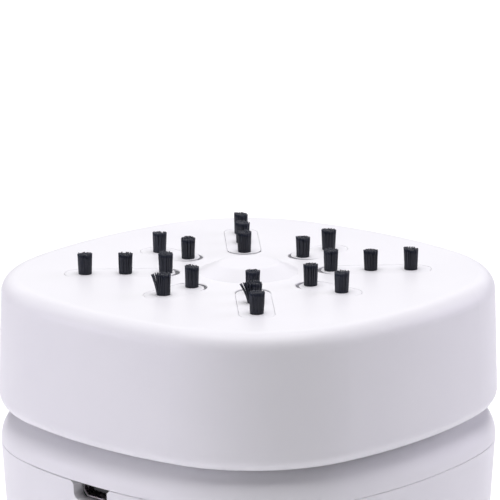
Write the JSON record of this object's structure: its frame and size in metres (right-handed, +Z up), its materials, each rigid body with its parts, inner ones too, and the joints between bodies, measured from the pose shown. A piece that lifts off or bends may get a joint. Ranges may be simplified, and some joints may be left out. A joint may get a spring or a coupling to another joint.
{
  "type": "desktop mini vacuum cleaner",
  "caption": "Rounded-square battery desk vacuum, stood upside down: pull-off dust cup with a brush face over a motor body with a charging socket and push button.",
  "frame": {"origin": "centre of the flat top cover that it stands on when it is turned brush side up", "axes": "+Z up, from the top cover to the brush face, so the object is upside down against its use; -Y towards the charging port; +X to the right of the port"},
  "size_m": [0.0852, 0.0852, 0.0641],
  "materials": {
    "white_abs": "satin gloss",
    "white_strip": "satin",
    "black_bristle": "fine nylon filaments",
    "grey_plastic": "matte",
    "filter_cloth": "fine felt",
    "seal_rubber": "matte",
    "black_rubber": "matte",
    "steel": "brushed",
    "socket_metal": "bright plated",
    "bronze": "satin",
    "magnet": "dull",
    "black_plastic": "matte",
    "board_green": "satin",
    "cell_wrap": "shrink film",
    "red_lead": "satin",
    "black_lead": "satin"
  },
  "bodies": {
    "housing": {"main_shell": "white_abs", "deck": "white_abs", "cup_seal": "seal_rubber", "usb_receptacle": "socket_metal", "fan_housing": "grey_plastic", "motor_can": "steel", "motor_end_cap": "black_plastic", "motor_magnet": "magnet", "motor_bearings": "bronze", "motor_cushion": "black_rubber", "motor_screws": "steel", "switch_body": "black_plastic", "switch_board": "board_green", "switch_board_screws": "steel", "charge_board": "board_green", "charge_board_screws": "steel", "board_components": "black_plastic", "usb_tongue": "black_plastic", "battery_cell": "cell_wrap", "battery_holder": "grey_plastic", "deck_screws": "steel", "battery_lead_red": "red_lead", "battery_lead_black": "black_lead", "motor_lead_red": "red_lead", "motor_lead_black": "black_lead", "switch_lead_red": "red_lead", "switch_lead_black": "black_lead"},
    "rotor": {"impeller": "grey_plastic", "motor_shaft": "steel", "motor_rotor": "steel", "commutator": "bronze"},
    "button": {"power_button": "white_abs", "switch_plunger": "black_plastic"},
    "cup": {"dust_cup": "white_abs", "right_corner_brush_base": "white_strip", "right_corner_tufts": "black_bristle", "back_corner_brush_base": "white_strip", "back_corner_tufts": "black_bristle", "left_corner_brush_base": "white_strip", "left_corner_tufts": "black_bristle", "front_corner_brush_base": "white_strip", "front_corner_tufts": "black_bristle", "right_side_brush_base": "white_strip", "right_side_tufts": "black_bristle", "back_side_brush_base": "white_strip", "back_side_tufts": "black_bristle", "left_side_brush_base": "white_strip", "left_side_tufts": "black_bristle", "port_side_brush_base": "white_strip", "port_side_tufts": "black_bristle"},
    "filter": {"filter_frame": "grey_plastic", "filter_media": "filter_cloth"}
  },
  "joints": [
    {"name": "cup_pull", "type": "slide", "parent": "housing", "child": "cup", "axis": [0, 0, 1], "range_m": [0, 0.03]},
    {"name": "filter_lift", "type": "slide", "parent": "housing", "child": "filter", "axis": [0, 0, 1], "range_m": [0, 0.008]},
    {"name": "button_press", "type": "slide", "parent": "housing", "child": "button", "axis": [0, 0, 1], "range_m": [0, 0.001], "stiffness_N_per_m": 500, "springref_m": -0.001},
    {"name": "fan_spin", "type": "hinge", "parent": "housing", "child": "rotor", "pos_m": [0, 0, 0.02], "axis": [0, 0, 1], "continuous": true}
  ]
}
